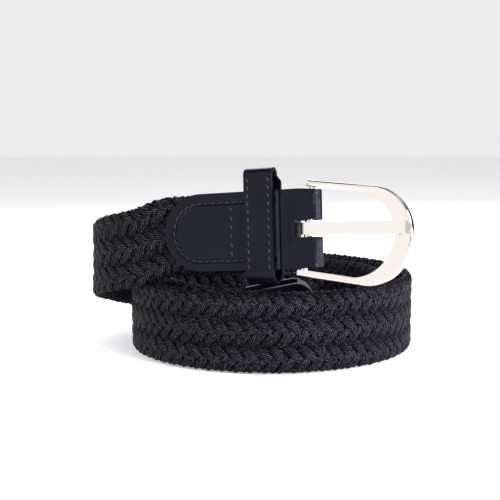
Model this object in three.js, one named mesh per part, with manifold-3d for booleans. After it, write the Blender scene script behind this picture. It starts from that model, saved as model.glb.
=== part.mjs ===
// Elastic stretch belt, loosely coiled and standing on its edge. Millimetres, +Z up.
// The buckle end lies on top of the coil at the front (-Y), the leather tip is tucked in behind it.
import * as THREE from 'three';
import { mergeVertices } from 'three/addons/utils/BufferGeometryUtils.js';
import Module from 'manifold-3d';

const wasm = await Module();
wasm.setup();

// Strap
const STRAP_WIDTH = 35.5;
const STRAP_THICKNESS = 4.5;
const STRAP_EDGE_RADIUS = 1.5;
const STEP_LENGTH = 8;
const STEP_TURN = 11.25;

// Coil
const RING_RADIUS = 63.3;
const TURN_GAP = 0.9;

// Leather
const LEATHER_WIDTH = 32.8;
const LEATHER_THICKNESS = 1.4;
const LEATHER_RAISE = 0.8;
const BUCKLE_TAB_LENGTH = 64.1;
const TIP_TAB_LENGTH = 30;
const TIP_OVERHANG = 8;
const TIP_ROUNDING = 10;
const TIP_SQUEEZE = 0.9;
const SLOT_WIDTH = 7;
const SLOT_REACH = 4.6;
const FOLD_LENGTH = 11.5;
const FOLD_PLAY = 2.4;
const FOLD_TAPER = 0.7;
const GROOVE_DEPTH = 0.7;
const GROOVE_WIDTH = 2;

// Keeper
const KEEPER_WIDTH = 12.6;
const KEEPER_HEIGHT = 48.4;
const KEEPER_FROM_BAR = 20;
const KEEPER_DROP = 22.5;
const KEEPER_TOP_RADIUS = 2;
const KEEPER_SHOULDER = 3;

// Buckle
const BAR_RADIUS = 1.7;
const FRAME_THICKNESS = 4;
const FRAME_BEVEL = 0.9;
const FRAME_LENGTH = 45.2;
const LEG_WIDTH = 2.6;
const BOW_WIDTH = 7.6;
const BOW_DEPTH = 17;
const FRAME_FLARE = 0.3;
const LEG_OVERHANG = 2.6;
const FRAME_YAW = 3;
const FRAME_DROOP = 8.5;
const NOTCH_RADIUS = 2.6;
const NOTCH_REACH = 4.6;
const NOTCH_DEPTH = 0.8;

// Prong
const PRONG_WIDTH = 5;
const PRONG_THICKNESS = 2.2;
const PRONG_WALL = 1.2;
const PRONG_KNEE = 30;
const PRONG_LENGTH = 45.2;
const PRONG_SKEW = 7;

// Gaps between pieces
const SEAT_GAP = 0.3;
const BAR_GAP = 0.5;
const EYE_GAP = 0.4;
const FRAME_GAP = 0.8;

const strapMaterial = new THREE.MeshStandardMaterial({ color: 0x1b1b2c, roughness: 0.85, metalness: 0 });
const leatherMaterial = new THREE.MeshStandardMaterial({ color: 0x171a2b, roughness: 0.5, metalness: 0 });
const metalMaterial = new THREE.MeshStandardMaterial({ color: 0xd9d4ca, roughness: 0.12, metalness: 1 });

const radians = THREE.MathUtils.degToRad;

// The strap's route, in two tables that both start at the middle of the coil's front.
// turn: degrees to the left; radius and length: shares of the coil's radius, but for the straight
// ends in the leather, which are lengths of their own; height: how far the strap's middle has risen
// at the row's end, as a share of its width; lean: how far its top leans inwards there, in degrees;
// width: the share of its width left there, where the leather squeezes it.
const pitch = (STRAP_THICKNESS + TURN_GAP) / RING_RADIUS;
const bucklePlug = BUCKLE_TAB_LENGTH - FOLD_LENGTH - SEAT_GAP - STRAP_THICKNESS / 2;
const tipPlug = TIP_TAB_LENGTH - TIP_OVERHANG;
const towardsBuckle = [
  { turn: 90, radius: 1.0, height: 0.012, lean: 0 },
  { turn: 90, radius: 1.0, height: 0.07, lean: 0 },
  { turn: 0, length: 0.387, height: 0.12, lean: 0 },
  { turn: 45, radius: 0.908, height: 0.28, lean: 0 },
  { turn: 22, radius: 0.908, height: 0.44, lean: 0 },
  { turn: 23, radius: 0.908, height: 0.6, lean: 1 },
  { turn: 34, radius: 0.623, height: 0.76, lean: 3 },
  { turn: 34, radius: 0.623, height: 0.9, lean: 6 },
  { turn: 0, length: 0.2435, height: 1.05, lean: 7 },
  { turn: 0, length: bucklePlug / RING_RADIUS - 0.02, height: 1.155, lean: 7 },
];
const towardsTip = [
  { turn: -90, radius: 1.0, height: 0, lean: 0 },
  { turn: -90, radius: 1 - pitch, height: 0, lean: 0 },
  { turn: -90, radius: 0.985 - pitch, height: 0, lean: 0 },
  { turn: 0, length: 0.27, height: 0, lean: 0 },
  { turn: -144, radius: 0.128, height: 0, lean: 0 },
  { turn: 0, length: 0.19, height: 0, lean: 0 },
  { turn: 54, radius: 0.22, height: 0, lean: 0 },
  { turn: 0, length: 0.79, height: 0, lean: 0 },
  { turn: 131, radius: 0.22, height: 0, lean: 0 },
  { turn: 0, length: 0.4, height: 0, lean: 6 },
  { turn: 57, radius: 0.19, height: 0.005, lean: 10 },
  { turn: 0, length: 0.075, height: 0.012, lean: 11, width: TIP_SQUEEZE },
  { turn: 0, length: tipPlug / RING_RADIUS + 0.02, height: 0.125, lean: 11, width: TIP_SQUEEZE },
];

// A smooth value through the rows' ends, by distance along the route; the last row, which runs
// in the leather, is straight.
function smooth(distances, values, at) {
  const last = distances.length - 1;
  const i = Math.min(Math.max(distances.findIndex((d) => d > at) - 1, 0), last - 1);
  const k = at >= distances[last] ? last - 1 : i;
  const slope = (j) => {
    const before = j >= last - 1 ? last - 1 : Math.max(j - 1, 0);
    const after = Math.min(j + 1, last);
    return (values[after] - values[before]) / (distances[after] - distances[before]);
  };
  const span = distances[k + 1] - distances[k];
  const t = (at - distances[k]) / span;
  const startSlope = slope(k) * span;
  const endSlope = slope(k + 1) * span;
  const rise = values[k + 1] - values[k];
  return values[k] + t * (startSlope + t * (3 * rise - 2 * startSlope - endSlope
    + t * (startSlope + endSlope - 2 * rise)));
}

// The stations of one table: plan place, heading, height and lean, from the coil's front.
function walk(rows, startHeading) {
  let x = 0;
  let y = -RING_RADIUS;
  let heading = radians(startHeading);
  let distance = 0;
  const plan = [{ x, y, heading, distance }];
  const ends = [0];
  for (const row of rows) {
    const turn = radians(row.turn);
    const radius = row.turn === 0 ? 0 : row.radius * RING_RADIUS;
    const length = row.turn === 0 ? row.length * RING_RADIUS : Math.abs(turn) * radius;
    const count = Math.ceil(Math.max(length / STEP_LENGTH, Math.abs(row.turn) / STEP_TURN));
    const stepTurn = turn / count;
    const stepLength = length / count;
    const chord = row.turn === 0 ? stepLength : 2 * radius * Math.sin(Math.abs(stepTurn) / 2);
    for (let i = 0; i < count; i += 1) {
      x += chord * Math.cos(heading + stepTurn / 2);
      y += chord * Math.sin(heading + stepTurn / 2);
      heading += stepTurn;
      distance += stepLength;
      plan.push({ x, y, heading, distance });
    }
    ends.push(distance);
  }
  const heights = [0, ...rows.map((row) => row.height * STRAP_WIDTH)];
  const leans = [0, ...rows.map((row) => radians(row.lean))];
  const widths = [1, ...rows.map((row) => row.width ?? 1)];
  const nudge = 0.5;
  return plan.map((p) => {
    const before = Math.max(p.distance - nudge, 0);
    const after = Math.min(p.distance + nudge, distance);
    const rise = smooth(ends, heights, after) - smooth(ends, heights, before);
    return {
      ...p,
      z: STRAP_WIDTH / 2 + smooth(ends, heights, p.distance),
      lean: smooth(ends, leans, p.distance),
      width: smooth(ends, widths, p.distance),
      slope: Math.atan2(rise, after - before),
    };
  });
}

// The three directions of the strap at a station: along, out of its outer face, and up its width.
function axesAt(station) {
  const { heading, slope, lean } = station;
  const along = new THREE.Vector3(
    Math.cos(heading) * Math.cos(slope), Math.sin(heading) * Math.cos(slope), Math.sin(slope));
  const side = new THREE.Vector3(-Math.sin(heading), Math.cos(heading), 0);
  const rise = along.clone().cross(side);
  const out = side.clone().multiplyScalar(Math.cos(lean)).addScaledVector(rise, Math.sin(lean));
  const up = rise.clone().multiplyScalar(Math.cos(lean)).addScaledVector(side, -Math.sin(lean));
  return { at: new THREE.Vector3(station.x, station.y, station.z), along, out, up };
}

const turnRound = (p) => ({ ...p, heading: p.heading + Math.PI, slope: -p.slope });
const route = [
  ...walk(towardsBuckle, 0).map(turnRound).reverse(),
  ...walk(towardsTip, 180).slice(1),
];

// A rounded rectangle across the strap, anticlockwise seen from ahead: x out of the face, y up.
function strapSection() {
  const halfX = STRAP_THICKNESS / 2 - STRAP_EDGE_RADIUS;
  const halfY = STRAP_WIDTH / 2 - STRAP_EDGE_RADIUS;
  const corners = [[1, 1, 0], [-1, 1, 90], [-1, -1, 180], [1, -1, 270]];
  return corners.flatMap(([sx, sy, start]) => [0, 45, 90].map((a) => new THREE.Vector2(
    sx * halfX + STRAP_EDGE_RADIUS * Math.cos(radians(start + a)),
    sy * halfY + STRAP_EDGE_RADIUS * Math.sin(radians(start + a)))));
}

// A solid swept through the stations with a section square to each, squeezed to the station's width.
function sweep(stations, section) {
  const n = section.length;
  const positions = [];
  const index = [];
  for (const station of stations) {
    const { at, out, up } = axesAt(station);
    for (const p of section) {
      const v = at.clone().addScaledVector(out, p.x).addScaledVector(up, p.y * station.width);
      positions.push(v.x, v.y, v.z);
    }
  }
  for (let i = 0; i + 1 < stations.length; i += 1) {
    for (let j = 0; j < n; j += 1) {
      const a = i * n + j;
      const b = i * n + (j + 1) % n;
      index.push(a, b, b + n, a, b + n, a + n);
    }
  }
  const lastRing = (stations.length - 1) * n;
  for (let j = 1; j + 1 < n; j += 1) {
    index.push(0, j + 1, j);
    index.push(lastRing, lastRing + j, lastRing + j + 1);
  }
  const geometry = new THREE.BufferGeometry();
  geometry.setAttribute('position', new THREE.Float32BufferAttribute(positions, 3));
  geometry.setIndex(index);
  return geometry;
}

// Closed solids for cutting and joining.
function solid(geometry) {
  const bare = geometry.clone();
  bare.deleteAttribute('normal');
  bare.deleteAttribute('uv');
  const merged = mergeVertices(bare, 1e-4);
  return new wasm.Manifold(new wasm.Mesh({
    numProp: 3,
    vertProperties: new Float32Array(merged.attributes.position.array),
    triVerts: new Uint32Array(merged.index.array),
  }));
}

function geometryOf(body) {
  const mesh = body.getMesh();
  const geometry = new THREE.BufferGeometry();
  geometry.setAttribute('position', new THREE.BufferAttribute(mesh.vertProperties.slice(), 3));
  geometry.setIndex(new THREE.BufferAttribute(mesh.triVerts.slice(), 1));
  return geometry;
}

// A shape drawn in X and Y, given depth along Z about z = 0.
function slab(shape, depth, curveSegments = 12) {
  return new THREE.ExtrudeGeometry(shape, { depth, bevelEnabled: false, curveSegments })
    .translate(0, 0, -depth / 2);
}

// A side view drawn in X and Z, given width along Y about y = 0.
function sideSlab(shape, width, curveSegments = 12) {
  return slab(shape, width, curveSegments).rotateX(Math.PI / 2);
}

function box(x0, x1, y0, y1, z0, z1) {
  return new THREE.BoxGeometry(x1 - x0, y1 - y0, z1 - z0)
    .translate((x0 + x1) / 2, (y0 + y1) / 2, (z0 + z1) / 2);
}

// In the leather pieces and the buckle, x runs out of the strap's end, y up its width and z out of
// its front face, with the bar's axis or the tip's end at x = 0.
const pocket = STRAP_THICKNESS / 2 + SEAT_GAP;
const leatherFace = pocket + LEATHER_THICKNESS;
const foldInner = BAR_RADIUS + BAR_GAP;
const foldOuter = foldInner + LEATHER_THICKNESS;

function buckleTab() {
  const grooveFloor = leatherFace - GROOVE_DEPTH;
  const bulge = Math.max(foldOuter, grooveFloor) + GROOVE_DEPTH / 3;
  const side = new THREE.Shape();
  const farEnd = -BUCKLE_TAB_LENGTH - LEATHER_WIDTH;
  side.moveTo(farEnd, -leatherFace);
  side.lineTo(-FOLD_LENGTH - GROOVE_WIDTH / 2, -leatherFace);
  side.lineTo(-FOLD_LENGTH, -grooveFloor);
  side.lineTo(-FOLD_LENGTH + GROOVE_WIDTH / 2, -bulge);
  side.lineTo(-FOLD_LENGTH / 2, -bulge);
  side.lineTo(FOLD_PLAY, -foldOuter);
  side.absarc(FOLD_PLAY, 0, foldOuter, -Math.PI / 2, Math.PI / 2, false);
  side.lineTo(-FOLD_LENGTH / 2, bulge);
  side.lineTo(-FOLD_LENGTH + GROOVE_WIDTH / 2, bulge);
  side.lineTo(-FOLD_LENGTH, grooveFloor);
  side.lineTo(-FOLD_LENGTH - GROOVE_WIDTH / 2, leatherFace);
  side.lineTo(farEnd, leatherFace);
  side.closePath();
  const barRoom = new THREE.Path();
  barRoom.absarc(FOLD_PLAY, 0, foldInner, -Math.PI / 2, Math.PI / 2, false);
  barRoom.absarc(-FOLD_PLAY, 0, foldInner, Math.PI / 2, 3 * Math.PI / 2, false);
  side.holes.push(barRoom);
  const half = LEATHER_WIDTH / 2;
  const outline = new THREE.Shape();
  const foldEnd = FOLD_PLAY + foldOuter + 1;
  outline.moveTo(foldEnd, half - FOLD_TAPER);
  outline.lineTo(-FOLD_PLAY, half);
  outline.lineTo(-BUCKLE_TAB_LENGTH + half, half);
  outline.absarc(-BUCKLE_TAB_LENGTH + half, 0, half, Math.PI / 2, 3 * Math.PI / 2, false);
  outline.lineTo(-FOLD_PLAY, -half);
  outline.lineTo(foldEnd, FOLD_TAPER - half);
  outline.closePath();
  const pocketEnd = -FOLD_LENGTH - STRAP_THICKNESS / 2;
  const strapRoom = box(-BUCKLE_TAB_LENGTH - 1, pocketEnd, -half - 1, half + 1, -pocket, pocket);
  const slot = box(-SLOT_REACH, foldEnd, -SLOT_WIDTH / 2, SLOT_WIDTH / 2, -leatherFace - 1,
    leatherFace + 1);
  return geometryOf(solid(sideSlab(side, LEATHER_WIDTH + 2)).intersect(solid(slab(outline, 4 * leatherFace)))
    .subtract(solid(strapRoom)).subtract(solid(slot)));
}

function tipTab() {
  const half = LEATHER_WIDTH / 2;
  const outline = new THREE.Shape();
  outline.moveTo(-TIP_TAB_LENGTH, -half);
  outline.lineTo(-TIP_ROUNDING, -half);
  outline.absellipse(-TIP_ROUNDING, 0, TIP_ROUNDING, half, -Math.PI / 2, Math.PI / 2, false, 0);
  outline.lineTo(-TIP_TAB_LENGTH, half);
  outline.closePath();
  const strapRoom = box(-TIP_TAB_LENGTH - 1, -TIP_OVERHANG + SEAT_GAP, -half - 1, half + 1, -pocket, pocket);
  return geometryOf(solid(slab(outline, 2 * leatherFace)).subtract(solid(strapRoom)));
}

// The keeper's loop in Z and Y: a straight front, a narrow arch on top of which the back slants
// out to the strap's top edge, and a half-round bottom.
function keeperLoop() {
  const inner = leatherFace + SEAT_GAP;
  const bottom = -KEEPER_DROP + inner + LEATHER_THICKNESS;
  const top = KEEPER_HEIGHT - KEEPER_DROP - KEEPER_TOP_RADIUS - LEATHER_THICKNESS;
  const shoulder = STRAP_WIDTH / 2 + KEEPER_SHOULDER;
  const archMiddle = inner - KEEPER_TOP_RADIUS;
  const edge = (path, wall) => {
    path.moveTo(inner + wall, bottom);
    path.lineTo(inner + wall, top);
    path.absarc(archMiddle, top, KEEPER_TOP_RADIUS + wall, 0, Math.PI, false);
    path.lineTo(-inner - wall, shoulder);
    path.lineTo(-inner - wall, bottom);
    path.absarc(0, bottom, inner + wall, Math.PI, 2 * Math.PI, false);
    return path;
  };
  const loop = edge(new THREE.Shape(), LEATHER_THICKNESS);
  loop.holes.push(edge(new THREE.Path(), 0));
  return slab(loop, KEEPER_WIDTH, 8).rotateY(-Math.PI / 2).translate(-KEEPER_FROM_BAR, 0, 0);
}

// Half of a horseshoe's edge: a straight leg that flares, then a quarter of an ellipse.
function horseshoe(path, start, half, flare, end) {
  const shoulder = end - BOW_DEPTH;
  path.moveTo(start, -half);
  path.lineTo(shoulder, -half - flare);
  path.absellipse(shoulder, 0, end - shoulder, half + flare, -Math.PI / 2, Math.PI / 2, false, 0);
  path.lineTo(start, half);
  return path;
}

const windowHalf = LEATHER_WIDTH / 2 + FRAME_GAP;

function buckleFrame() {
  const flat = FRAME_THICKNESS - 2 * FRAME_BEVEL;
  const outer = horseshoe(new THREE.Shape(), -LEG_OVERHANG + FRAME_BEVEL,
    windowHalf + LEG_WIDTH - FRAME_BEVEL, FRAME_FLARE, FRAME_LENGTH - FRAME_BEVEL);
  const body = solid(new THREE.ExtrudeGeometry(outer, {
    depth: flat, bevelThickness: FRAME_BEVEL, bevelSize: FRAME_BEVEL, bevelSegments: 2, curveSegments: 40,
  }).translate(0, 0, -flat / 2));
  const bowInner = FRAME_LENGTH - BOW_WIDTH;
  const window = horseshoe(new THREE.Shape(), -LEG_OVERHANG - 1, windowHalf, FRAME_FLARE,
    bowInner);
  const notchRound = bowInner + NOTCH_REACH - NOTCH_RADIUS;
  const notch = new THREE.Shape();
  notch.moveTo(bowInner - NOTCH_REACH, -NOTCH_RADIUS);
  notch.lineTo(notchRound, -NOTCH_RADIUS);
  notch.absarc(notchRound, 0, NOTCH_RADIUS, -Math.PI / 2, Math.PI / 2, false);
  notch.lineTo(bowInner - NOTCH_REACH, NOTCH_RADIUS);
  notch.closePath();
  const bar = new THREE.CylinderGeometry(BAR_RADIUS, BAR_RADIUS, 2 * windowHalf + LEG_WIDTH, 16);
  return geometryOf(body.subtract(solid(slab(window, 2 * FRAME_THICKNESS, 40)))
    .subtract(solid(slab(notch, 2 * NOTCH_DEPTH).translate(0, 0, FRAME_THICKNESS / 2))).add(solid(bar)));
}

function prong() {
  const eyeInner = BAR_RADIUS + EYE_GAP;
  const eyeOuter = eyeInner + PRONG_WALL;
  const over = FRAME_THICKNESS / 2 + SEAT_GAP;
  const eye = new THREE.Shape();
  eye.absarc(0, 0, eyeOuter, 0, 2 * Math.PI, false);
  const finger = new THREE.Shape();
  finger.moveTo(0, eyeOuter - PRONG_THICKNESS);
  finger.lineTo(0, eyeOuter);
  finger.lineTo(PRONG_KNEE, over + PRONG_THICKNESS);
  finger.lineTo(PRONG_LENGTH - PRONG_THICKNESS, over + PRONG_THICKNESS);
  finger.lineTo(PRONG_LENGTH, over + PRONG_THICKNESS / 3);
  finger.lineTo(PRONG_LENGTH, over);
  finger.lineTo(PRONG_KNEE, over);
  finger.closePath();
  const hole = new THREE.CylinderGeometry(eyeInner, eyeInner, 2 * PRONG_WIDTH, 20);
  const half = PRONG_WIDTH / 2;
  const outline = new THREE.Shape();
  outline.moveTo(-eyeOuter - 1, -half);
  outline.lineTo(PRONG_LENGTH - half, -half);
  outline.absarc(PRONG_LENGTH - half, 0, half, -Math.PI / 2, Math.PI / 2, false);
  outline.lineTo(-eyeOuter - 1, half);
  outline.closePath();
  const reach = 4 * (over + PRONG_THICKNESS);
  return geometryOf(solid(sideSlab(eye, PRONG_WIDTH, 20)).add(solid(sideSlab(finger, PRONG_WIDTH)))
    .subtract(solid(hole)).intersect(solid(slab(outline, reach))).subtract(solid(hole)))
    .rotateZ(radians(PRONG_SKEW));
}

function mesh(name, geometry, material) {
  const made = new THREE.Mesh(geometry, material);
  made.name = name;
  return made;
}

// A group whose x runs out of the strap's end, at a distance past it and above its middle.
function endGroup(station, outwards, past, raise) {
  const { at, along, out, up } = axesAt(station);
  const x = along.clone().multiplyScalar(outwards);
  const z = x.clone().cross(up);
  const group = new THREE.Group();
  group.quaternion.setFromRotationMatrix(new THREE.Matrix4().makeBasis(x, up, z));
  group.position.copy(at.addScaledVector(x, past).addScaledVector(up, raise));
  return group;
}

const belt = new THREE.Group();
belt.add(mesh('braided_strap', sweep(route, strapSection()), strapMaterial));

const buckleEnd = endGroup(route[0], -1, FOLD_LENGTH + SEAT_GAP + STRAP_THICKNESS / 2,
  LEATHER_RAISE);
buckleEnd.add(mesh('buckle_tab', buckleTab(), leatherMaterial));
buckleEnd.add(mesh('keeper_loop', keeperLoop(), leatherMaterial));
const buckle = new THREE.Group();
buckle.rotation.set(0, -radians(FRAME_YAW), -radians(FRAME_DROOP));
buckle.add(mesh('buckle_frame', buckleFrame(), metalMaterial));
buckle.add(mesh('prong', prong(), metalMaterial));
buckleEnd.add(buckle);
belt.add(buckleEnd);

const tipEnd = endGroup(route[route.length - 1], 1, TIP_OVERHANG, 0);
tipEnd.add(mesh('tip_tab', tipTab(), leatherMaterial));
belt.add(tipEnd);

// The origin is the middle of the belt's base.
belt.updateMatrixWorld(true);
const bounds = new THREE.Box3().setFromObject(belt, true);
const centre = bounds.getCenter(new THREE.Vector3());
belt.position.set(-centre.x, -centre.y, -bounds.min.z);
belt.updateMatrixWorld(true);

export default belt;
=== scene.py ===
# Elastic stretch belt, loosely coiled on its edge: a navy braid with leather ends, a leather
# keeper and a polished horseshoe buckle. Metres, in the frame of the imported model.
import math

import bmesh
import bpy
import numpy as np
from mathutils import Matrix, Vector


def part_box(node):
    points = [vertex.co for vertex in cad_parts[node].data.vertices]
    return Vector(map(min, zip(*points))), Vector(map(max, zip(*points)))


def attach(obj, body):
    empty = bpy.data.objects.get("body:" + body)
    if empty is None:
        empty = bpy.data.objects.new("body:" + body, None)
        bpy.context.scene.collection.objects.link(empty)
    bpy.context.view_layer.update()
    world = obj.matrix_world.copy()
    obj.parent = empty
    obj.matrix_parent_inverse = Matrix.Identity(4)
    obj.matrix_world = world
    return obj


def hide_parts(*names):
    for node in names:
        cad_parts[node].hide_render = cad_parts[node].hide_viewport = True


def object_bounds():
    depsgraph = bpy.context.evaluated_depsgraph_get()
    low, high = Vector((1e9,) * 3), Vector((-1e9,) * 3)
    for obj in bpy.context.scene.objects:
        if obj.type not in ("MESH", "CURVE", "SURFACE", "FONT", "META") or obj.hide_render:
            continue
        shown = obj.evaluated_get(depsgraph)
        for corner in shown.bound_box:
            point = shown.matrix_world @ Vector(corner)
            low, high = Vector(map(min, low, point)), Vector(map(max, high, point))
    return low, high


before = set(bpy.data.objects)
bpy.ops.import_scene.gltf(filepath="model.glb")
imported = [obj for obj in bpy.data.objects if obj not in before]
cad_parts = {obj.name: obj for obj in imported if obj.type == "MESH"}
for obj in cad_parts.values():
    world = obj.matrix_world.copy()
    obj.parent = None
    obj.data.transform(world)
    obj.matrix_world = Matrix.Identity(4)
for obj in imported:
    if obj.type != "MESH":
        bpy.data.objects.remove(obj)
cad_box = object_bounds()

# Camera: a little above the coil, in front of it and half a metre away, with a short telephoto
# lens. It looks at the middle of the ring that the strap's two lowest turns make.
MM = 0.001
RING_RADIUS = 63.3
STRAP_WIDTH = 35.5
STRAP_THICKNESS = 4.5
CAMERA_DISTANCE = 500
CAMERA_ELEVATION = 9.75
TARGET_HEIGHT = 18
LENS = 76.03
SENSOR_WIDTH = 36
SHIFT_RIGHT = -0.043
SHIFT_UP = 0.1126
CLIP_START = 0.01

strap_low, strap_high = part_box("braided_strap")
ring_reach = (RING_RADIUS + STRAP_THICKNESS / 2) * MM
ring_centre = Vector((strap_high[0] - ring_reach, strap_low[1] + ring_reach, 0.0))

elevation = math.radians(CAMERA_ELEVATION)
target = ring_centre + Vector((0, 0, TARGET_HEIGHT * MM))
away = Vector((0, -math.cos(elevation), math.sin(elevation)))
bpy.ops.object.select_all(action="DESELECT")
bpy.ops.object.camera_add(
    location=target + away * CAMERA_DISTANCE * MM,
    rotation=(math.pi / 2 - elevation, 0, 0),
)
camera = bpy.context.object
camera.data.lens = LENS
camera.data.sensor_width = SENSOR_WIDTH
camera.data.shift_x = SHIFT_RIGHT
camera.data.shift_y = SHIFT_UP
camera.data.clip_start = CLIP_START
bpy.context.scene.camera = camera


# Materials are made of nodes. Colours are written as on a paint chart and turned to linear light.
def linear(chart_hex):
    channels = [int(chart_hex[i:i + 2], 16) / 255 for i in (1, 3, 5)]
    light = [c / 12.92 if c <= 0.04045 else ((c + 0.055) / 1.055) ** 2.4 for c in channels]
    return (*light, 1.0)


# An input is named by its label, with _ for a space, or by its place in the list, such as _0.
def add_node(tree, kind, settings=None, **inputs):
    node = tree.nodes.new(kind)
    for key, value in (settings or {}).items():
        setattr(node, key, value)
    for key, value in inputs.items():
        place = int(key[1:]) if key[1:].isdigit() else key.replace("_", " ")
        socket = node.inputs[place]
        if isinstance(value, bpy.types.NodeSocket):
            tree.links.new(value, socket)
        else:
            socket.default_value = value
    return node


def math_node(tree, operation, *values):
    values = {f"_{i}": value for i, value in enumerate(values)}
    return add_node(tree, "ShaderNodeMath", {"operation": operation}, **values).outputs[0]


def new_material(name):
    material = bpy.data.materials.new(name)
    material.use_nodes = True
    return material, material.node_tree, material.node_tree.nodes["Principled BSDF"]


def make_active(piece):
    bpy.ops.object.select_all(action="DESELECT")
    piece.select_set(True)
    bpy.context.view_layer.objects.active = piece


def link_piece(name, mesh):
    piece = bpy.data.objects.new(name, mesh)
    bpy.context.scene.collection.objects.link(piece)
    make_active(piece)
    return piece


def turn_faces_outwards():
    bpy.ops.object.mode_set(mode="EDIT")
    bpy.ops.mesh.select_all(action="SELECT")
    bpy.ops.mesh.normals_make_consistent(inside=False)
    bpy.ops.object.mode_set(mode="OBJECT")
    bpy.ops.object.shade_smooth()


# Points and faces of a ball whose poles lie on x, for a lump or a stitch that runs along x.
def ball(segments, ring_count, radius):
    bpy.ops.object.select_all(action="DESELECT")
    bpy.ops.mesh.primitive_uv_sphere_add(segments=segments, ring_count=ring_count, radius=radius)
    made = bpy.context.object
    corners = np.array([v.co for v in made.data.vertices])[:, [2, 1, 0]] * (1, 1, -1)
    sides = [tuple(p.vertices) for p in made.data.polygons]
    bpy.data.objects.remove(made, do_unlink=True)
    return corners, sides


# Floor: a wide sheet of matt white paper, with the light of a bright white room round it.
FLOOR_SIZE = 6.0
PAPER_GLOW = 0.3
bpy.ops.object.select_all(action="DESELECT")
bpy.ops.mesh.primitive_plane_add(size=FLOOR_SIZE, location=(0, 0, cad_box[0][2]))
floor = bpy.context.object
floor.name = "floor"
paper, _, shader = new_material("matt white paper")
shader.inputs["Base Color"].default_value = linear("#f7f7f8")
shader.inputs["Roughness"].default_value = 1.0
shader.inputs["Specular IOR Level"].default_value = 0.0
shader.inputs["Emission Color"].default_value = linear("#ffffff")
shader.inputs["Emission Strength"].default_value = PAPER_GLOW
floor.data.materials.append(paper)

# The room is white, with a tan wall at the right and a tan ceiling light, which the bevels of the
# buckle and the prong mirror as brown lines, and a window at the front left that their faces
# mirror. The view transform is Standard, so that white paper comes out white.
ROOM_STRENGTH = 0.84
world = bpy.data.worlds.new("bright white room")
world.use_nodes = True
tree = world.node_tree
direction = add_node(tree, "ShaderNodeTexCoord")
room_colour = linear("#ffffff")
bright_window = [1.68, 1.7, 1.78, 1]
room_things = [
    # direction, cosine at its edge, cosine where it is full, colour
    ((0.95, 0.15, -0.1), 0.5, 0.64, linear("#4a3e2e")),
    ((-0.2, 0.05, 0.95), 0.78, 0.86, linear("#54452e")),
    ((-0.73, -0.68, 0.05), 0.88, 0.93, bright_window),
]
for towards, edge, full, colour in room_things:
    facing = add_node(
        tree, "ShaderNodeVectorMath", {"operation": "DOT_PRODUCT"},
        _0=direction.outputs["Generated"], _1=Vector(towards).normalized(),
    )
    seen = add_node(
        tree, "ShaderNodeMapRange", Value=facing.outputs["Value"], From_Min=edge, From_Max=full,
    )
    mixed = add_node(
        tree, "ShaderNodeMix", {"data_type": "RGBA"},
        Factor=seen.outputs[0], _6=room_colour, _7=colour,
    )
    room_colour = mixed.outputs[2]
tree.links.new(room_colour, tree.nodes["Background"].inputs["Color"])
tree.nodes["Background"].inputs["Strength"].default_value = ROOM_STRENGTH
bpy.context.scene.world = world
bpy.context.scene.view_settings.view_transform = "Standard"

# Lamps: a large soft box at the front right, one at the right, a weak one at the left and a long
# narrow one behind, which puts a line of light on the upper edges.
lamps = [
    # name, place, aim, width, height, watts, colour
    ("key", (0.62, -0.62, 0.36), (0, 0, 0.04), 0.36, 0.5, 12, "#f3f1ff"),
    ("right", (0.9, -0.1, 0.35), (0, 0, 0.04), 0.4, 0.5, 8, "#e9e4ff"),
    ("left", (-0.8, -0.2, 0.5), (0, 0, 0.04), 0.4, 0.4, 3, "#eef3ff"),
    ("rim", (-0.1, 0.6, 0.5), (0, 0, 0.05), 0.7, 0.2, 3, "#dfe9ff"),
]
for name, place, aim, width, height, watts, colour in lamps:
    bpy.ops.object.select_all(action="DESELECT")
    bpy.ops.object.light_add(type="AREA", location=place)
    lamp = bpy.context.object
    lamp.name = name
    lamp.rotation_euler = (Vector(aim) - Vector(place)).to_track_quat("-Z", "Y").to_euler()
    lamp.data.shape = "RECTANGLE"
    lamp.data.size = width
    lamp.data.size_y = height
    lamp.data.energy = watts
    lamp.data.color = linear(colour)[:3]

# Braided strap: a flat braid of round elastic cords, each covered with fine shiny polyester
# yarn. Cords pass over and under each other, so each face shows six rows of slanting lumps.
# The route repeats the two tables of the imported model, in millimetres and degrees.
TURN_GAP = 0.9
LEATHER_THICKNESS = 1.4
LEATHER_RAISE = 0.8
BUCKLE_TAB_LENGTH = 64.1
FOLD_LENGTH = 11.5
TIP_TAB_LENGTH = 30
TIP_OVERHANG = 8
TIP_SQUEEZE = 0.9
SEAT_GAP = 0.3

pitch = (STRAP_THICKNESS + TURN_GAP) / RING_RADIUS
buckle_plug = BUCKLE_TAB_LENGTH - FOLD_LENGTH - SEAT_GAP - STRAP_THICKNESS / 2
tip_plug = TIP_TAB_LENGTH - TIP_OVERHANG
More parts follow.
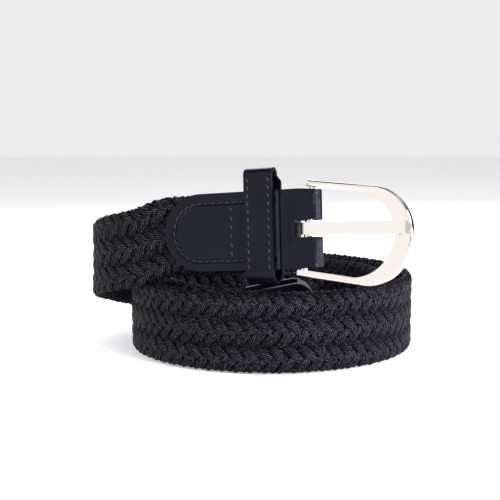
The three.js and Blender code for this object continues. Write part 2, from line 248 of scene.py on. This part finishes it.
# turn, radius or length, height, lean, width
towards_buckle = [
    (90, 1.0, 0.012, 0, 1),
    (90, 1.0, 0.07, 0, 1),
    (0, 0.387, 0.12, 0, 1),
    (45, 0.908, 0.28, 0, 1),
    (22, 0.908, 0.44, 0, 1),
    (23, 0.908, 0.6, 1, 1),
    (34, 0.623, 0.76, 3, 1),
    (34, 0.623, 0.9, 6, 1),
    (0, 0.2435, 1.05, 7, 1),
    (0, buckle_plug / RING_RADIUS - 0.02, 1.155, 7, 1),
]
towards_tip = [
    (-90, 1.0, 0, 0, 1),
    (-90, 1 - pitch, 0, 0, 1),
    (-90, 0.985 - pitch, 0, 0, 1),
    (0, 0.27, 0, 0, 1),
    (-144, 0.128, 0, 0, 1),
    (0, 0.19, 0, 0, 1),
    (54, 0.22, 0, 0, 1),
    (0, 0.79, 0, 0, 1),
    (131, 0.22, 0, 0, 1),
    (0, 0.4, 0, 6, 1),
    (57, 0.19, 0.005, 10, 1),
    (0, 0.075, 0.012, 11, TIP_SQUEEZE),
    (0, tip_plug / RING_RADIUS + 0.02, 0.125, 11, TIP_SQUEEZE),
]


def smooth(distances, values, at):
    last = len(distances) - 1
    slopes = []
    for j in range(last + 1):
        before = last - 1 if j >= last - 1 else max(j - 1, 0)
        after = min(j + 1, last)
        slopes.append((values[after] - values[before]) / (distances[after] - distances[before]))
    k = np.clip(np.searchsorted(distances, at, side="right") - 1, 0, last - 1)
    distances, values, slopes = np.array(distances), np.array(values), np.array(slopes)
    span = distances[k + 1] - distances[k]
    t = (at - distances[k]) / span
    start, end = slopes[k] * span, slopes[k + 1] * span
    rise = values[k + 1] - values[k]
    return values[k] + t * (start + t * (3 * rise - 2 * start - end + t * (start + end - 2 * rise)))


def walk(rows, start_heading, step=1.0):
    ends = [0.0]
    plans = []
    x, y, heading = 0.0, -RING_RADIUS, math.radians(start_heading)
    for turn, size, *_ in rows:
        angle = math.radians(turn)
        length = size * RING_RADIUS if turn == 0 else abs(angle) * size * RING_RADIUS
        t = np.linspace(0, 1, max(int(length / step), 2), endpoint=False)
        headings = heading + angle * t
        if turn == 0:
            xs = x + length * t * math.cos(heading)
            ys = y + length * t * math.sin(heading)
        else:
            radius = length / angle
            xs = x + radius * (np.sin(headings) - math.sin(heading))
            ys = y - radius * (np.cos(headings) - math.cos(heading))
        plans.append(np.stack([ends[-1] + length * t, xs, ys, headings]))
        if turn == 0:
            x, y = x + length * math.cos(heading), y + length * math.sin(heading)
        else:
            x += radius * (math.sin(heading + angle) - math.sin(heading))
            y -= radius * (math.cos(heading + angle) - math.cos(heading))
        heading += angle
        ends.append(ends[-1] + length)
    plans.append(np.array([[ends[-1]], [x], [y], [heading]]))
    distance, xs, ys, headings = np.concatenate(plans, axis=1)
    heights = [0.0] + [row[2] * STRAP_WIDTH for row in rows]
    leans = [0.0] + [math.radians(row[3]) for row in rows]
    widths = [1.0] + [row[4] for row in rows]
    nudge = 0.5
    before, after = np.maximum(distance - nudge, 0), np.minimum(distance + nudge, ends[-1])
    rise = smooth(ends, heights, after) - smooth(ends, heights, before)
    return np.stack([
        distance, xs, ys, headings, STRAP_WIDTH / 2 + smooth(ends, heights, distance),
        np.arctan2(rise, after - before), smooth(ends, leans, distance), smooth(ends, widths, distance),
    ])


to_buckle = walk(towards_buckle, 0)
to_tip = walk(towards_tip, 180)
to_buckle[3] += math.pi
to_buckle[5] *= -1
to_buckle[0] *= -1
route = np.concatenate([to_buckle[:, ::-1], to_tip[:, 1:]], axis=1)
route[0] -= route[0][0]
strap_length = route[0][-1]


def axes_at(distance):
    x, y, heading, z, slope, lean, width = (np.interp(distance, route[0], row) for row in route[1:])
    cos, sin = np.cos, np.sin
    along = np.stack([cos(heading) * cos(slope), sin(heading) * cos(slope), sin(slope)], -1)
    side = np.stack([-sin(heading), cos(heading), np.zeros_like(heading)], -1)
    rise = np.cross(along, side)
    out = side * cos(lean)[..., None] + rise * sin(lean)[..., None]
    up = rise * cos(lean)[..., None] - side * sin(lean)[..., None]
    at = np.stack([x, y, z], -1) + np.array(ring_centre) / MM
    return at, along, out, up, width


CORE_RADIUS = 1.2
ROWS_ROUND = 12
FLAT_HALF = STRAP_WIDTH / 2 - STRAP_THICKNESS / 2
half_round = 2 * FLAT_HALF + math.pi * CORE_RADIUS
row_pitch = 2 * half_round / ROWS_ROUND


# Strap places: distance along the route, distance round the core from its top edge, height over it.
def on_strap(distance, around, height):
    back = np.floor(around / half_round) % 2
    q = around % half_round
    quarter = math.pi / 2 * CORE_RADIUS
    upper = np.clip(q / CORE_RADIUS, 0, math.pi / 2)
    lower = np.clip((q - quarter - 2 * FLAT_HALF) / CORE_RADIUS, 0, math.pi / 2)
    angle = math.pi / 2 - upper - lower
    flat = FLAT_HALF - np.clip(q - quarter, 0, 2 * FLAT_HALF)
    radius = CORE_RADIUS + height
    w = radius * np.cos(angle)
    v = flat + radius * np.sin(angle)
    sign = 1 - 2 * back
    at, along, out, up, width = axes_at(distance)
    points = at + out * (w * sign)[..., None] + up * (v * sign * width)[..., None]
    return points * MM


# The cord's visible lump, modelled once: a long round body that rises to its head and dives at
# its tail.
LUMP_PITCH = 6.1
LUMP_HALF_LENGTH = 5.2
LUMP_HALF_WIDTH = 2.3
LUMP_HALF_HEIGHT = 1.2
LUMP_SLANT = 43
HEAD_PLACE = 0.3
HEAD_RISE = 0.05
TAIL_DIVE = 0.34
END_BLUNTNESS = 0.55
lump_points, lump_faces = ball(segments=8, ring_count=6, radius=1)
t, across, thick = lump_points.T
blunt = np.abs(t) ** END_BLUNTNESS * np.sign(t)
girth = np.sqrt(1 - np.minimum(np.abs(blunt), 1) ** 4) / np.maximum(np.sqrt(1 - t * t), 0.001)
girth = np.where(np.abs(t) > 0.999, 1, girth)
t, across, thick = blunt, across * girth, thick * girth
lift = HEAD_RISE - TAIL_DIVE * (t - HEAD_PLACE) ** 2
lump_along = t * LUMP_HALF_LENGTH
lump_across = across * LUMP_HALF_WIDTH
lump_height = thick * LUMP_HALF_HEIGHT + lift

# Painted highlight: near a lump's head, where the cord catches the light, more of the bright threads
# show and they are painted brighter.
HIGHLIGHT_MIDDLE = 0.7
HIGHLIGHT_SLOPE = 0.6
lump_highlight = np.clip(HIGHLIGHT_MIDDLE + HIGHLIGHT_SLOPE * t, 0, 1)

# Odd rows lean the other way and sit half a lump further. Each lump differs a little in its
# slant, size and height.
ROW_SHIFT = 0.25
SLANT_SPREAD = 0.03
SIZE_SPREAD = 0.03
HEIGHT_SPREAD = 0.05
YARN_REACH = 40
count = round(strap_length / LUMP_PITCH)
lump_pitch = strap_length / count
points, faces, marks, painted_highlights = [], [], [], []
rng = np.random.default_rng(7)
start = 0
for row in range(ROWS_ROUND):
    falling = 1 if row % 2 == 0 else -1
    slant = math.radians(LUMP_SLANT) * falling
    for i in range(count):
        middle = (i + 0.5 - falling * ROW_SHIFT) * lump_pitch
        twist = slant + rng.normal(0, SLANT_SPREAD)
        size = 1 + rng.normal(0, SIZE_SPREAD)
        du = (-lump_along * math.cos(twist) + lump_across * math.sin(twist)) * size
        dq = (lump_along * math.sin(twist) + lump_across * math.cos(twist)) * size
        distance = np.clip(middle + du, 0, strap_length)
        around = ((row + 0.5) * row_pitch + dq) % (2 * half_round)
        points.append(on_strap(distance, around, lump_height + rng.normal(0, HEIGHT_SPREAD)))
        faces.extend([tuple(v + start for v in f) for f in lump_faces])
        seed = rng.uniform(0, YARN_REACH)
        marks.append(np.stack([lump_along + seed, lump_across + rng.uniform(0, YARN_REACH)], -1))
        painted_highlights.append(lump_highlight)
        start += len(lump_points)

# The core closes the spaces between the lumps.
CORE_RINGS = 320
CORE_SINK = 0.15
core_steps = np.linspace(0, strap_length, CORE_RINGS)
core_round = np.concatenate([
    np.linspace(0, math.pi / 2 * CORE_RADIUS, 4),
    np.linspace(math.pi / 2 * CORE_RADIUS + 2 * FLAT_HALF, half_round, 4)[:-1],
])
core_round = np.concatenate([core_round, core_round + half_round])
rings = len(core_round)
for i, distance in enumerate(core_steps):
    points.append(on_strap(np.full(rings, distance), core_round, np.full(rings, -CORE_SINK)))
    marks.append(np.zeros((rings, 2)))
    painted_highlights.append(np.zeros(rings))
    if i:
        for j in range(rings):
            a, b = start + (i - 1) * rings + j, start + (i - 1) * rings + (j + 1) % rings
            faces.append((a, a + rings, b + rings, b))
faces.append(tuple(start + j for j in range(rings)))
last_ring = start + (len(core_steps) - 1) * rings
faces.append(tuple(last_ring + j for j in reversed(range(rings))))

braid_mesh = bpy.data.meshes.new("braid")
braid_mesh.from_pydata(np.concatenate(points).tolist(), [], faces)
braid = link_piece("braid", braid_mesh)
corner_marks = np.concatenate(marks)[[loop.vertex_index for loop in braid_mesh.loops]]
braid_mesh.uv_layers.new(name="cord").data.foreach_set("uv", corner_marks.ravel())
# The crown attribute carries the strength of the painted highlight to the yarn material.
highlight_marks = braid_mesh.attributes.new("crown", "FLOAT", "POINT")
highlight_marks.data.foreach_set("value", np.concatenate(painted_highlights))
turn_faces_outwards()

# Polyester yarn, twisted and heat set: nearly black navy, with fine threads that run along the cord a
# little askew, and a painted glint where bright threads catch the light. The threads are 0.3 mm in
# reality and drawn 0.7 mm wide to show.
yarn, tree, shader = new_material("twisted navy polyester yarn")
marks_uv = add_node(tree, "ShaderNodeUVMap", {"uv_map": "cord"})
askew = add_node(tree, "ShaderNodeMapping", Vector=marks_uv.outputs[0], Rotation=(0, 0, 0.35))
threads = add_node(
    tree, "ShaderNodeTexWave", {"bands_direction": "Y"}, Vector=askew.outputs[0],
    Scale=0.42, Distortion=2.5, Detail=2.0, Detail_Scale=1.4,
)
drawn_out = add_node(tree, "ShaderNodeMapping", Vector=askew.outputs[0], Scale=(0.6, 1.3, 1))
specks = add_node(
    tree, "ShaderNodeTexNoise", Vector=drawn_out.outputs[0], Scale=1.3, Detail=2.0, Roughness=0.6,
)
both = math_node(tree, "MULTIPLY", threads.outputs["Fac"], specks.outputs["Fac"])
crown = add_node(tree, "ShaderNodeAttribute", {"attribute_name": "crown"})
# Painted highlight: the crown mark scales the glint pattern up towards each lump's head.
painted_glint_boost = add_node(tree, "ShaderNodeMapRange", Value=crown.outputs["Fac"], To_Min=0.8, To_Max=1.05)
shown = math_node(tree, "MULTIPLY", both, painted_glint_boost.outputs[0])
shades = add_node(tree, "ShaderNodeValToRGB", Fac=shown)
shades.color_ramp.elements[0].position = 0.1
shades.color_ramp.elements[0].color = linear("#020203")
# The lightest shade is a painted glint on the shiny filaments. The darker shades are the yarn's own
# navy.
shades.color_ramp.elements[1].position = 0.6
shades.color_ramp.elements[1].color = linear("#56525f")
middle_shade = shades.color_ramp.elements.new(0.4)
middle_shade.color = linear("#090a0e")
tree.links.new(shades.outputs["Color"], shader.inputs["Base Color"])
relief = add_node(tree, "ShaderNodeBump", Strength=1.0, Distance=0.0005, Height=both)
tree.links.new(relief.outputs[0], shader.inputs["Normal"])
shader.inputs["Roughness"].default_value = 0.5
shader.inputs["Specular IOR Level"].default_value = 0.07
braid_mesh.materials.append(yarn)
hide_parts("braided_strap")
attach(braid, "belt")


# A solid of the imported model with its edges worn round, in millimetres and degrees.
def dressed_copy(node, name, round_edge, segments=3, angle=32, smooth_angle=40):
    piece = link_piece(name, bpy.data.objects[node].data.copy())
    piece.data.materials.clear()
    bpy.ops.object.mode_set(mode="EDIT")
    bpy.ops.mesh.select_all(action="SELECT")
    bpy.ops.mesh.remove_doubles(threshold=0.00001)
    bpy.ops.mesh.dissolve_limited(angle_limit=math.radians(1))
    bpy.ops.object.mode_set(mode="OBJECT")
    if round_edge:
        bevel = piece.modifiers.new("worn edge", "BEVEL")
        bevel.width = round_edge * MM
        bevel.segments = segments
        bevel.limit_method = "ANGLE"
        bevel.angle_limit = math.radians(angle)
        bpy.ops.object.modifier_apply(modifier=bevel.name)
    bpy.ops.object.shade_smooth_by_angle(angle=math.radians(smooth_angle))
    flats = piece.modifiers.new("flat faces stay flat", "WEIGHTED_NORMAL")
    flats.keep_sharp = True
    bpy.ops.object.modifier_apply(modifier=flats.name)
    return piece


# Frame at an end of the strap: x out of the end, y up its width, z out of the front face.
def end_frame(distance, outwards, past, raise_by):
    at, along, out, up, _ = (a[0] if np.ndim(a) > 1 else a for a in axes_at(np.array([distance])))
    x = Vector(along) * outwards
    y = Vector(up)
    z = x.cross(y)
    place = Vector(at) + x * past + y * raise_by
    matrix = Matrix((x, y, z)).transposed().to_4x4()
    matrix.translation = place * MM
    return matrix


buckle_end = end_frame(0.0, -1, FOLD_LENGTH + SEAT_GAP + STRAP_THICKNESS / 2, LEATHER_RAISE)
LEATHER_WIDTH = 32.8
leather_half = LEATHER_WIDTH / 2
leather_face = STRAP_THICKNESS / 2 + SEAT_GAP + LEATHER_THICKNESS

# Stitches: waxed thread, each a short round bar sunk into its holes.
STITCH_PITCH = 3.2
STITCH_LENGTH = 2.3
STITCH_THICKNESS = 0.7
STITCH_SLANT = 16
STITCH_LIFT = 0.02
waxed, _, shader = new_material("waxed navy thread")
shader.inputs["Base Color"].default_value = linear("#10121c")
shader.inputs["Roughness"].default_value = 0.35
stitch_points, stitch_faces = ball(segments=6, ring_count=5, radius=0.5)
stitch_points *= (STITCH_LENGTH, STITCH_THICKNESS, STITCH_THICKNESS)


# Middle and direction of each stitch along a path.
def sewn_line(path):
    path = np.array(path, float)
    steps = np.linalg.norm(np.diff(path, axis=0), axis=1)
    ends = np.concatenate([[0], np.cumsum(steps)])
    slant = Matrix.Rotation(math.radians(STITCH_SLANT), 3, "Z")
    n = max(int(ends[-1] / STITCH_PITCH), 1)
    at = (np.arange(n) + 0.5) * ends[-1] / n
    middle = np.stack([np.interp(at, ends, path[:, i]) for i in range(3)], -1)
    ahead = np.stack([np.interp(at + 0.5, ends, path[:, i]) for i in range(3)], -1)
    behind = np.stack([np.interp(at - 0.5, ends, path[:, i]) for i in range(3)], -1)
    return [(m, slant @ Vector(a - b)) for m, a, b in zip(middle, ahead, behind)]


def sew(name, lines, matrix, outward):
    points, faces = [], []
    for middle, direction in lines:
        x = Vector(direction).normalized()
        z = Vector(outward)
        y = z.cross(x).normalized()
        turn = np.array(Matrix((x, y, z)))
        base = len(points) * len(stitch_points)
        points.append(stitch_points @ turn + middle)
        faces.extend([tuple(v + base for v in f) for f in stitch_faces])
    mesh = bpy.data.meshes.new(name)
    mesh.from_pydata((np.concatenate(points) * MM).tolist(), [], faces)
    mesh.transform(matrix)
    piece = link_piece(name, mesh)
    turn_faces_outwards()
    mesh.materials.append(waxed)
    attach(piece, "belt")


# Smooth cowhide, drum dyed and finished with a thin satin coat: a fine pebble of about 0.5 mm,
# drawn a little coarser, and a soft mottling. The seam presses a shallow channel into it along a
# line that runs round the end, so the rim outside the seam stands up and shines.
SEAM_INSET = 4.2
CHANNEL_WIDTH = 1.5
SEAM_END = -14


def cowhide(name, place_of, round_centre=None):
    material, tree, shader = new_material(name)
    inverse = place_of.inverted()
    place = add_node(tree, "ShaderNodeTexCoord")
    local = add_node(
        tree, "ShaderNodeMapping", Vector=place.outputs["Object"],
        Location=inverse.translation, Rotation=inverse.to_euler(),
    )
    mottle = add_node(
        tree, "ShaderNodeTexNoise", Vector=local.outputs[0], Scale=110.0, Detail=4.0, Roughness=0.6,
    )
    shades = add_node(tree, "ShaderNodeValToRGB", Fac=mottle.outputs["Fac"])
    shades.color_ramp.elements[0].position = 0.3
    shades.color_ramp.elements[0].color = linear("#060810")
    shades.color_ramp.elements[1].position = 0.75
    shades.color_ramp.elements[1].color = linear("#0d101a")
    tree.links.new(shades.outputs["Color"], shader.inputs["Base Color"])
    pebble = add_node(
        tree, "ShaderNodeTexVoronoi", {"feature": "SMOOTH_F1"}, Vector=local.outputs[0], Scale=1300.0,
    )
    relief = add_node(
        tree, "ShaderNodeBump", Strength=0.3, Distance=0.0002, Height=pebble.outputs["Distance"],
    )
    if round_centre is not None:
        parts = add_node(tree, "ShaderNodeSeparateXYZ", Vector=local.outputs[0])
        past = math_node(tree, "SUBTRACT", parts.outputs[0], round_centre * MM)
        round_part = math_node(tree, "MINIMUM", past, 0.0)
        flat = add_node(tree, "ShaderNodeCombineXYZ", X=round_part, Y=parts.outputs[1])
        reach = add_node(tree, "ShaderNodeVectorMath", {"operation": "LENGTH"}, _0=flat.outputs[0])
        seam_reach = (LEATHER_WIDTH / 2 - SEAM_INSET) * MM
        off_seam = math_node(tree, "SUBTRACT", reach.outputs["Value"], seam_reach)
        width = math_node(tree, "ABSOLUTE", off_seam)
        past_end = math_node(tree, "SUBTRACT", parts.outputs[0], SEAM_END * MM)
        from_seam = math_node(tree, "MAXIMUM", width, past_end)
        channel = add_node(
            tree, "ShaderNodeMapRange", {"interpolation_type": "SMOOTHSTEP"},
            Value=from_seam, From_Min=0.0, From_Max=CHANNEL_WIDTH * MM,
        )
        relief = add_node(
            tree, "ShaderNodeBump", Strength=1.0, Distance=0.0006, Height=channel.outputs[0],
            Normal=relief.outputs[0],
        )
    tree.links.new(relief.outputs[0], shader.inputs["Normal"])
    shader.inputs["Roughness"].default_value = 0.3
    shader.inputs["Specular IOR Level"].default_value = 0.13
    return material


# Leather buckle end: smooth navy cowhide, split to 1.4 mm, folded round the bar and sewn to the
# strap with its cut edges painted. Its front and back layers hold the strap between them.
WORN_EDGE = 0.45
buckle_leather = dressed_copy("buckle_tab", "buckle_leather", WORN_EDGE)

# The fold is a soft tube round the bar: it is cut into a fine grid, rounded towards the bow and
# pinched in where it meets the prong.
FOLD_GRID = 0.9
FOLD_GRID_ACROSS = 1.5
FOLD_REACH = 3.6
FOLD_HALF = 15
FOLD_INSIDE = 2.2
FOLD_CROWN = 0.4
CROWN_REACH = 4
CROWN_POWER = 0.8
PINCH_DEPTH = 0.7
PINCH_START = 8
PINCH_RUN = 5
PINCH_HALF_WIDTH = 4.5
PINCH_CROWN_SHARE = 0.6
make_active(buckle_leather)
bpy.ops.object.mode_set(mode="EDIT")
length_way = buckle_end.to_3x3() @ Vector((1, 0, 0))
width_way = buckle_end.to_3x3() @ Vector((0, 1, 0))
for cut in np.arange(-FOLD_LENGTH - 1, FOLD_REACH, FOLD_GRID):
    bpy.ops.mesh.select_all(action="SELECT")
    bpy.ops.mesh.bisect(plane_co=buckle_end @ Vector((cut * MM, 0, 0)), plane_no=length_way)
bpy.ops.object.mode_set(mode="OBJECT")
to_fold = buckle_end.inverted()
fold_mesh = bmesh.new()
fold_mesh.from_mesh(buckle_leather.data)
for cut in np.arange(-FOLD_HALF, FOLD_HALF + 0.1, FOLD_GRID_ACROSS):
    grid = [f for f in fold_mesh.faces if (to_fold @ f.calc_center_median()).x > -FOLD_LENGTH * MM]
    edges = {e for f in grid for e in f.edges}
    verts = {v for f in grid for v in f.verts}
    bmesh.ops.bisect_plane(
        fold_mesh, geom=list(grid) + list(edges) + list(verts), dist=1e-7,
        plane_co=buckle_end @ Vector((0, cut * MM, 0)), plane_no=width_way,
    )
for vert in fold_mesh.verts:
    x, y, z = (to_fold @ vert.co) / MM
    if x < -FOLD_LENGTH or abs(z) < FOLD_INSIDE:
        continue
    along = (x + FOLD_LENGTH) / (FOLD_LENGTH + CROWN_REACH)
    crown = FOLD_CROWN * math.sin(math.pi * min(along, 1)) ** CROWN_POWER
    nearness = min(max((x + PINCH_START) / PINCH_RUN, 0), 1)
    waist = math.exp(-((y / PINCH_HALF_WIDTH) ** 2)) * nearness
    z += math.copysign(crown - (PINCH_DEPTH + PINCH_CROWN_SHARE * crown) * waist, z)
    vert.co = buckle_end @ (Vector((x, y, z)) * MM)
fold_mesh.to_mesh(buckle_leather.data)
fold_mesh.free()
bpy.ops.object.shade_smooth_by_angle(angle=math.radians(40))
round_centre = -BUCKLE_TAB_LENGTH + leather_half
buckle_leather.data.materials.append(cowhide("satin navy cowhide", buckle_end, round_centre))
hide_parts("buckle_tab")
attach(buckle_leather, "belt")

# Seams of the buckle end: one runs round its end, another crosses it beside the keeper.
SEAM_STOP = 2
CROSS_SEAM = -33
CROSS_SEAM_STOP = 1
seam_half = leather_half - SEAM_INSET
seam_right = -FOLD_LENGTH - SEAM_STOP
seam_depth = leather_face + STITCH_LIFT
cross_half = seam_half - CROSS_SEAM_STOP
angles = np.radians(np.linspace(90, 270, 25))
outline = [(seam_right, seam_half)] + [
    (round_centre + seam_half * math.cos(a), seam_half * math.sin(a)) for a in angles
] + [(seam_right, -seam_half)]
for face, label in ((1, "front"), (-1, "back")):
    depth = face * seam_depth
    lines = sewn_line([(x, y, depth) for x, y in outline])
    lines += sewn_line([(CROSS_SEAM, cross_half, depth), (CROSS_SEAM, -cross_half, depth)])
    sew(f"buckle_stitches_{label}", lines, buckle_end, (0, 0, face))

# Keeper: a loose loop of the same leather, 12.6 mm wide, sewn near both edges. It stands up past
# the strap and takes the belt's tip when the belt is worn.
KEEPER_WIDTH = 12.6
KEEPER_FROM_BAR = 20
KEEPER_HEIGHT = 48.4
KEEPER_DROP = 22.5
KEEPER_SEAM_INSET = 1.7
KEEPER_SEAM_STOP = 3.4
KEEPER_WORN_EDGE = 0.4
keeper = dressed_copy("keeper_loop", "keeper", KEEPER_WORN_EDGE)
keeper.data.materials.append(cowhide("satin navy keeper cowhide", buckle_end))
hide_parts("keeper_loop")
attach(keeper, "belt")
keeper_face = leather_face + SEAT_GAP + LEATHER_THICKNESS
keeper_low = -KEEPER_DROP + keeper_face
keeper_high = KEEPER_HEIGHT - KEEPER_DROP - KEEPER_SEAM_STOP
keeper_lines = []
for side in (-1, 1):
    x = -KEEPER_FROM_BAR + side * (KEEPER_WIDTH / 2 - KEEPER_SEAM_INSET)
    keeper_lines += sewn_line([(x, keeper_low, keeper_face), (x, keeper_high, keeper_face)])
sew("keeper_stitches", keeper_lines, buckle_end, (0, 0, 1))

# Leather tip: two layers of the cowhide with the strap's squeezed end between them.
TIP_ROUNDING = 10
tip_end = end_frame(strap_length, 1, TIP_OVERHANG, 0)
tip_leather = dressed_copy("tip_tab", "tip_leather", WORN_EDGE)
tip_leather.data.materials.append(cowhide("satin navy tip cowhide", tip_end))
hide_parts("tip_tab")
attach(tip_leather, "belt")
tip_angles = np.radians(np.linspace(-90, 90, 21))
tip_outline = [(-TIP_TAB_LENGTH + SEAM_STOP, -seam_half)] + [
    (-TIP_ROUNDING + (TIP_ROUNDING - SEAM_INSET) * math.cos(a), seam_half * math.sin(a))
    for a in tip_angles
] + [(-TIP_TAB_LENGTH + SEAM_STOP, seam_half)]
for face, label in ((1, "front"), (-1, "back")):
    lines = sewn_line([(x, y, face * seam_depth) for x, y in tip_outline])
    sew(f"tip_stitches_{label}", lines, tip_end, (0, 0, face))

# Buckle: cast zinc, polished and nickel plated, a flat horseshoe with bevelled edges and a round
# bar across its open end.
nickel, tree, shader = new_material("polished nickel plate")
place = add_node(tree, "ShaderNodeTexCoord")
ripple = add_node(tree, "ShaderNodeTexNoise", Vector=place.outputs["Object"], Scale=60.0, Detail=2.0)
relief = add_node(tree, "ShaderNodeBump", Strength=0.05, Distance=0.0004, Height=ripple.outputs["Fac"])
tree.links.new(relief.outputs[0], shader.inputs["Normal"])
shader.inputs["Base Color"].default_value = linear("#d6cfc5")
shader.inputs["Metallic"].default_value = 1.0
shader.inputs["Roughness"].default_value = 0.09
buckle = dressed_copy("buckle_frame", "buckle_bow", 0, smooth_angle=50)
buckle.data.materials.append(nickel)
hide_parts("buckle_frame")
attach(buckle, "buckle")

# Prong: the same plated zinc, flat, with rounded edges, its eye closed round the bar.
PRONG_ROUNDING = 0.9
prong = dressed_copy("prong", "buckle_prong", PRONG_ROUNDING, segments=4)
prong.data.materials.append(nickel)
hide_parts("prong")
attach(prong, "prong")
